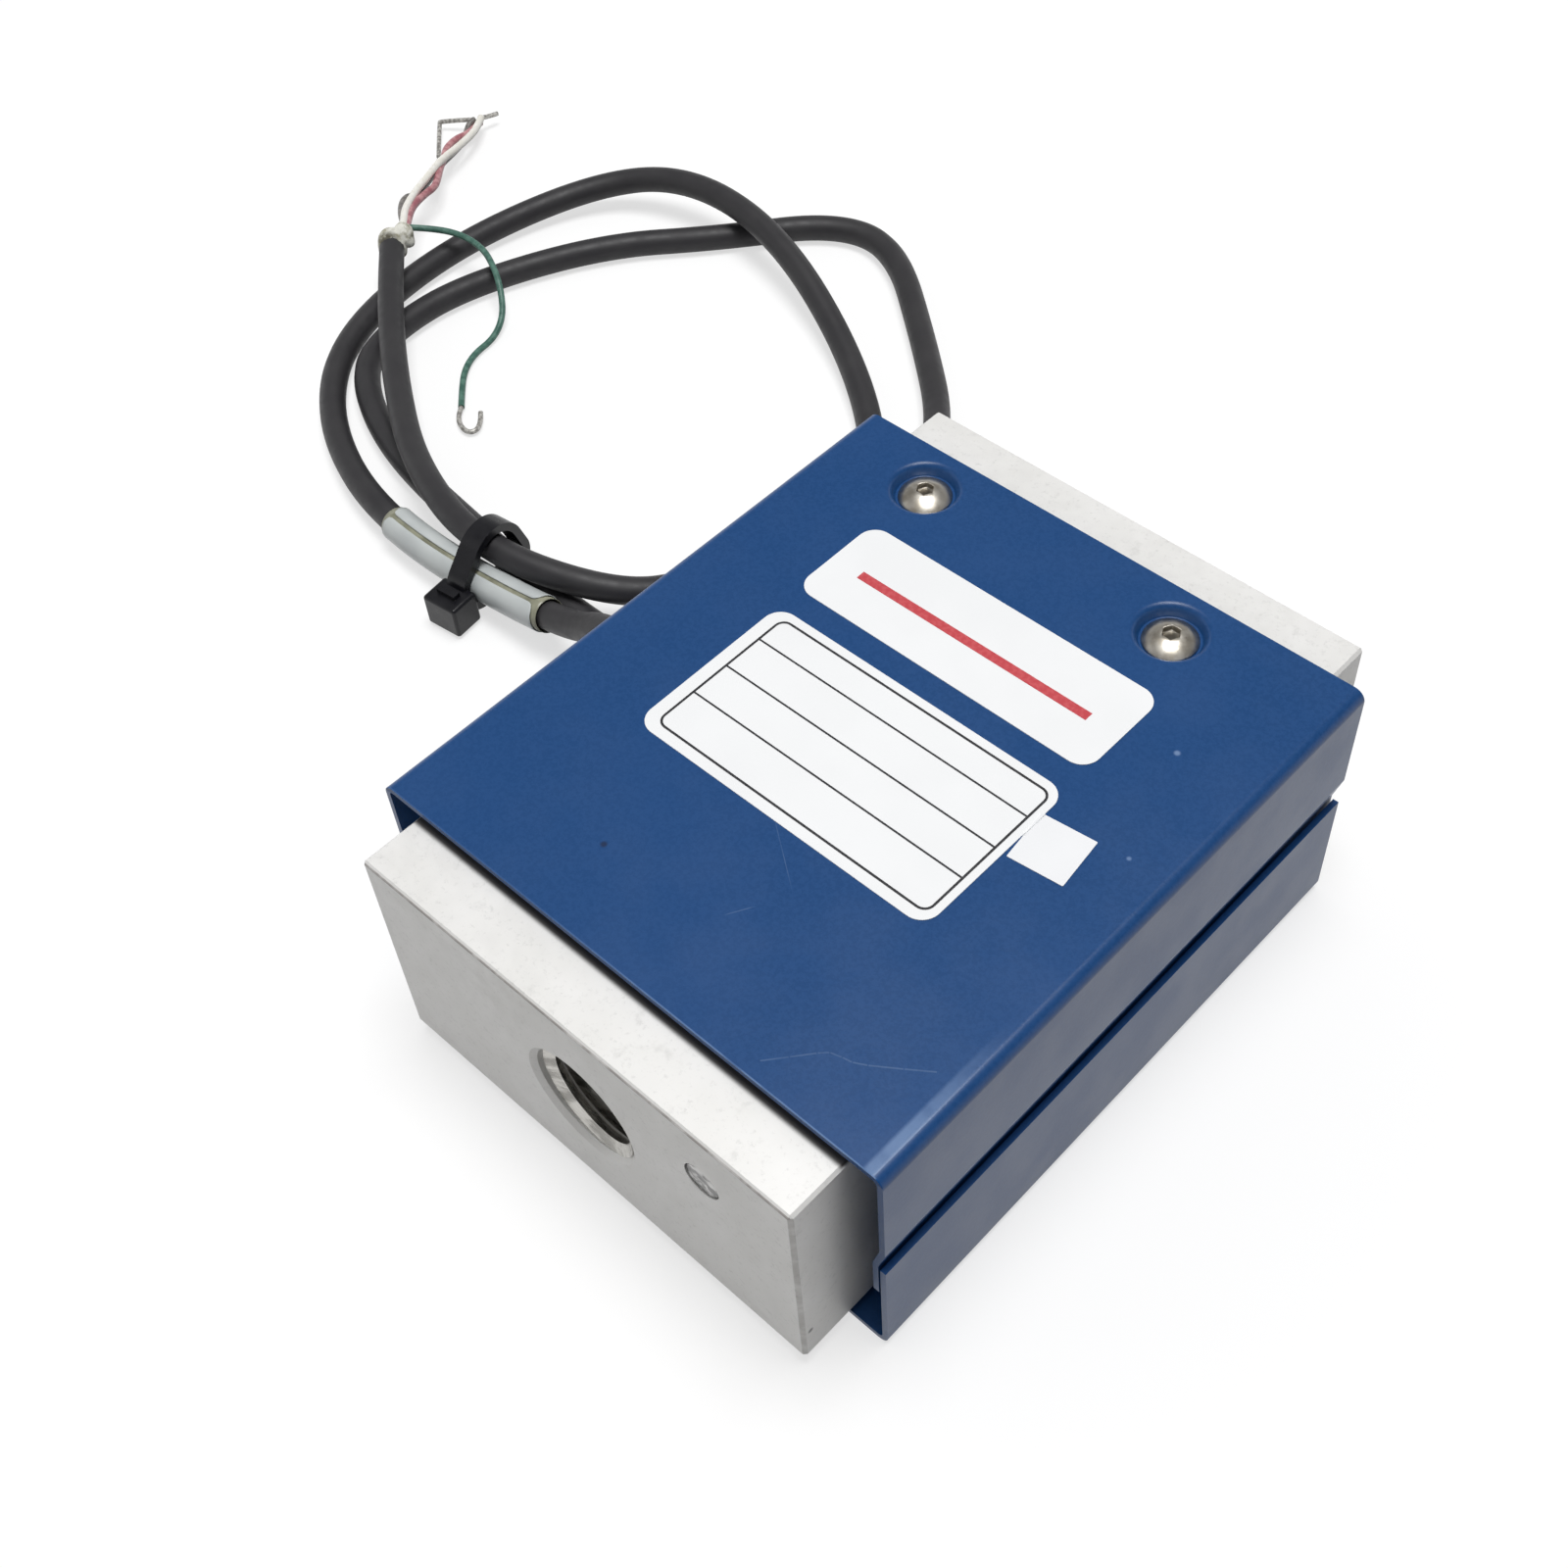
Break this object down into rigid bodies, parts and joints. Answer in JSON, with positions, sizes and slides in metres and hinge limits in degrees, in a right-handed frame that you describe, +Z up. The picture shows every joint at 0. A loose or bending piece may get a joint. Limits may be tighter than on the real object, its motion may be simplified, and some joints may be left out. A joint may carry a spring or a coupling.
{
  "type": "weighing load cell",
  "caption": "S-type tension and compression load cell: slotted aluminium beam with threaded ends, folded sheet covers and a short tied signal cable.",
  "frame": {"origin": "middle of the lower cover's underside, on the surface that the cell lies on", "axes": "+Y along the load axis towards the end away from the camera, +Z up through the upper cover, +X to the side opposite the cable"},
  "size_m": [0.1682, 0.1207, 0.0292],
  "materials": {
    "block_alloy": "bead-blasted and clear anodised",
    "cover_paint": "blue powder paint, half gloss, worn at the bends",
    "screw_steel": "bright stainless steel",
    "stop_steel": "black oxide",
    "gauge_foil": "amber film with metal foil",
    "board_laminate": "green laminate",
    "resistor_body": "matt",
    "cable_jacket": "soft dark grey jacket, slightly shiny",
    "sleeve_film": "pale film wrapped round the cable",
    "relief_rubber": "black moulding",
    "tie_nylon": "black nylon",
    "shield_braid": "fine tinned braid, frayed",
    "tinned_wire": "tinned copper strands",
    "red_insulation": "red insulation",
    "black_insulation": "black insulation",
    "green_insulation": "green insulation",
    "white_insulation": "white insulation",
    "label_film": "silver-white label film",
    "sticker_film": "white paper-like sticker"
  },
  "bodies": {
    "root": {"black_conductor": "black_insulation", "black_conductor_tip": "tinned_wire", "cable": "cable_jacket", "cable_sleeve": "sleeve_film", "cable_tie": "tie_nylon", "data_label": "label_film", "front_stop_screw": "stop_steel", "green_conductor": "green_insulation", "green_conductor_tip": "tinned_wire", "inner_lead_black": "black_insulation", "inner_lead_green": "green_insulation", "inner_lead_red": "red_insulation", "inner_lead_white": "white_insulation", "load_body": "block_alloy", "lower_cover": "cover_paint", "lower_cover_screw_left": "screw_steel", "lower_cover_screw_right": "screw_steel", "name_label": "label_film", "rear_stop_screw": "stop_steel", "red_conductor": "red_insulation", "shield_tuft": "shield_braid", "small_sticker": "sticker_film", "strain_gauge_front_left": "gauge_foil", "strain_gauge_front_right": "gauge_foil", "strain_gauge_rear_left": "gauge_foil", "strain_gauge_rear_right": "gauge_foil", "strain_relief": "relief_rubber", "terminal_board": "board_laminate", "trim_resistor_left": "resistor_body", "trim_resistor_right": "resistor_body", "upper_cover": "cover_paint", "upper_cover_screw_left": "screw_steel", "upper_cover_screw_right": "screw_steel", "white_conductor": "white_insulation", "white_conductor_tip": "tinned_wire"}
  },
  "joints": []
}
